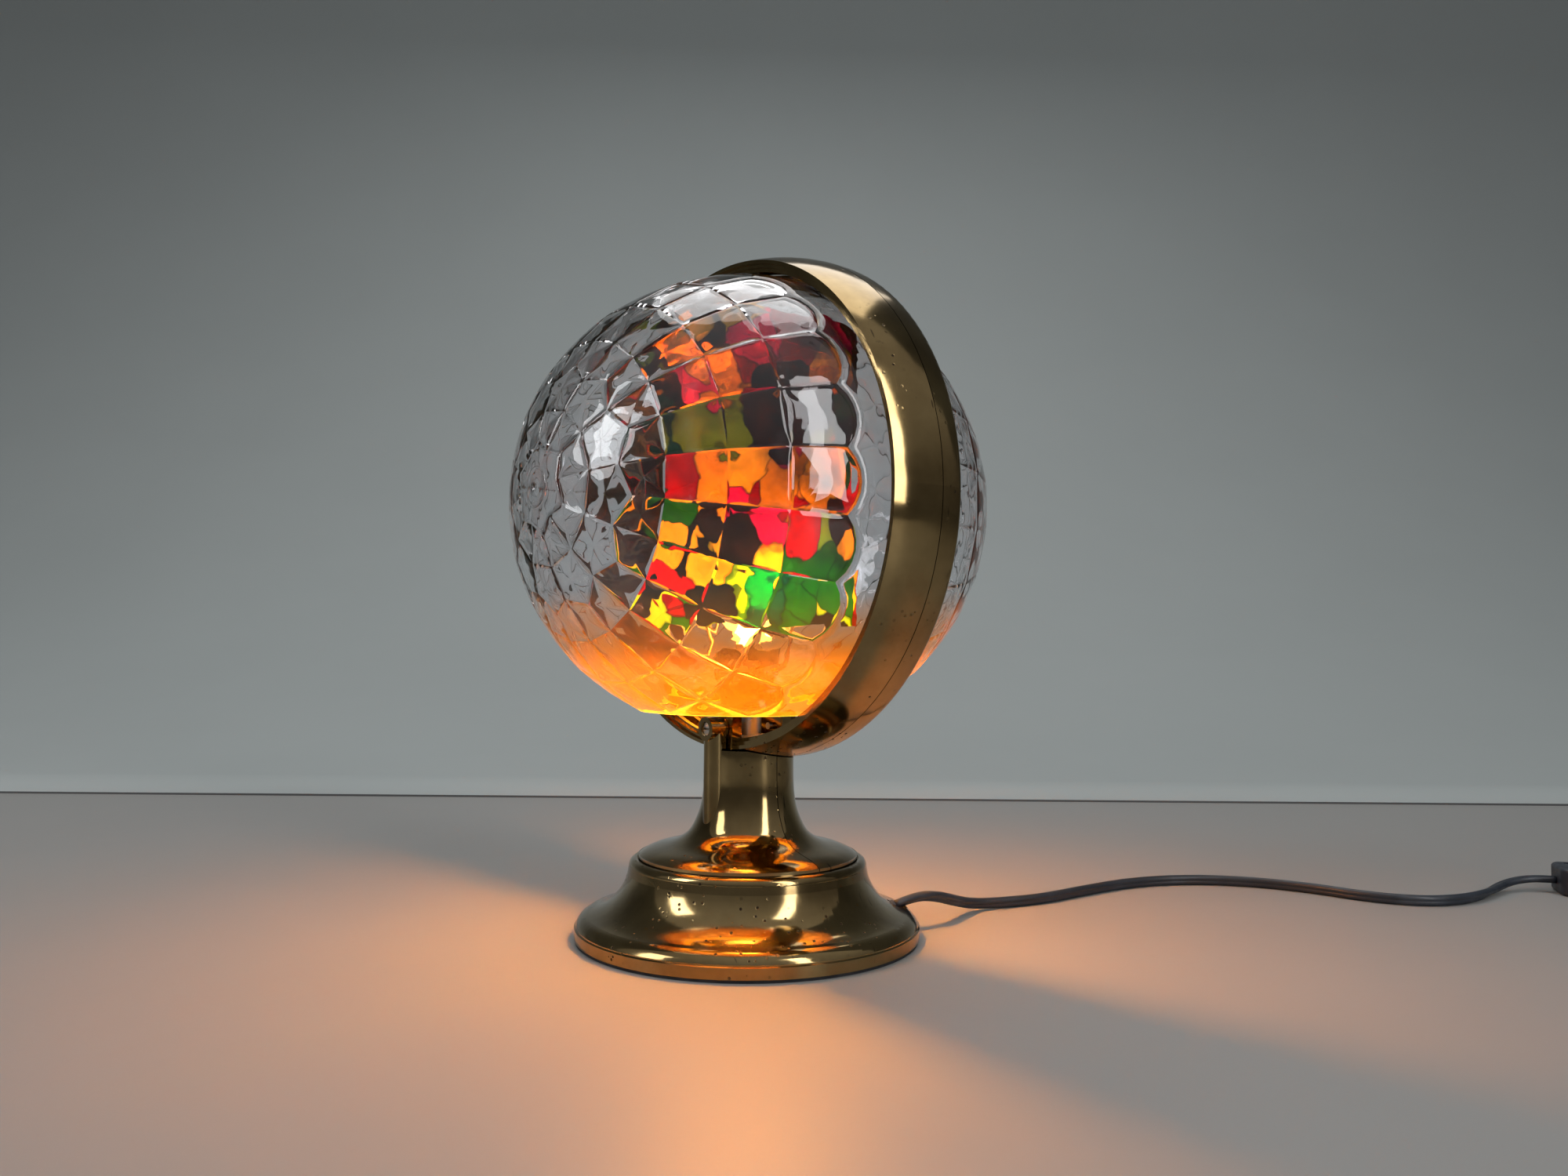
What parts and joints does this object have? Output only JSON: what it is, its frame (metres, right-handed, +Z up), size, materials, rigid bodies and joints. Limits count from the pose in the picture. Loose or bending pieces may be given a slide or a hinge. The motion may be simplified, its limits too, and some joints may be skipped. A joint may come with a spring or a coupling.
{
  "type": "rotating motion lamp",
  "caption": "Table lamp with a clear faceted globe in a gilt ring on a stem and round base; a coloured film drum turns on a needle above the bulb, with an inline switch on the cord.",
  "frame": {"origin": "middle of the underside of the foot", "axes": "+Z up along the stem and the drum's axis; the globe's axis is level along Y, with its front half facing -Y; +X to the right"},
  "size_m": [0.434, 0.5301, 0.2782],
  "materials": {
    "gilt": "gilt metallised plastic, aged, with dust pits and scratches",
    "foot_rubber": "dark, matt",
    "plate_steel": "plain sheet",
    "weight_iron": "raw casting",
    "screw_steel": "zinc plated",
    "clamp_plastic": "plain",
    "clear_plastic": "clear moulding with facets outside and a smooth inside",
    "pipe_steel": "zinc plated",
    "holder_black": "moulded",
    "porcelain": "glazed ceramic",
    "brass": "plain",
    "cap_metal": "pressed",
    "bulb_glass": "clear",
    "tungsten": "glowing wire on a glass stem",
    "spring_wire": "drawn wire",
    "needle_steel": "polished point",
    "printed_film": "transparent film printed in coloured patches",
    "hoop_plastic": "clear strip",
    "vane_sheet": "thin stamped sheet",
    "wire_insulation": "two insulated conductors",
    "cord_pvc": "dark soft plastic cord",
    "switch_plastic": "dark moulding",
    "rocker_plastic": "dark moulding",
    "plug_plastic": "dark moulding",
    "pin_metal": "nickel plated"
  },
  "bodies": {
    "lamp": {"base_shell": "gilt", "stem_front_half": "gilt", "stem_back_half": "gilt", "ring_front": "gilt", "ring_back": "gilt", "foot_ring": "foot_rubber", "base_plate": "plate_steel", "base_weight": "weight_iron", "base_screws": "screw_steel", "flange_screws": "screw_steel", "clamp_screws": "screw_steel", "ear_screws": "screw_steel", "switch_screws": "screw_steel", "cord_clamp": "clamp_plastic", "globe_front": "clear_plastic", "globe_back": "clear_plastic", "lamp_pipe": "pipe_steel", "pipe_nut_upper": "pipe_steel", "pipe_nut_lower": "pipe_steel", "lampholder_base": "holder_black", "lampholder_shell": "holder_black", "socket_seat": "porcelain", "socket_sleeve": "brass", "socket_contact": "brass", "bulb_cap": "cap_metal", "bulb_glass": "bulb_glass", "bulb_filament": "tungsten", "needle_frame": "spring_wire", "pivot_needle": "needle_steel", "supply_wires": "wire_insulation", "cord_in_base": "cord_pvc", "cord_to_switch": "cord_pvc", "cord_to_coil": "cord_pvc", "cord_coil": "cord_pvc", "cord_to_plug": "cord_pvc", "switch_base": "switch_plastic", "switch_cover": "switch_plastic", "rocker_pin": "screw_steel", "switch_contacts": "brass", "plug_body": "plug_plastic", "plug_pins": "pin_metal"},
    "drum": {"colour_film": "printed_film", "drum_hoop": "hoop_plastic", "fan_wheel": "vane_sheet", "pivot_cup": "brass"},
    "rocker": {"switch_rocker": "rocker_plastic"}
  },
  "joints": [
    {"name": "drum_spin", "type": "hinge", "parent": "lamp", "child": "drum", "pos_m": [0, 0, 0.236], "axis": [0, 0, 1], "continuous": true},
    {"name": "rocker_tilt", "type": "hinge", "parent": "lamp", "child": "rocker", "pos_m": [0.20127, 0.38117, 0.0084], "axis": [-0.515, 0.8572, 0], "range_deg": [-18, 0]}
  ]
}
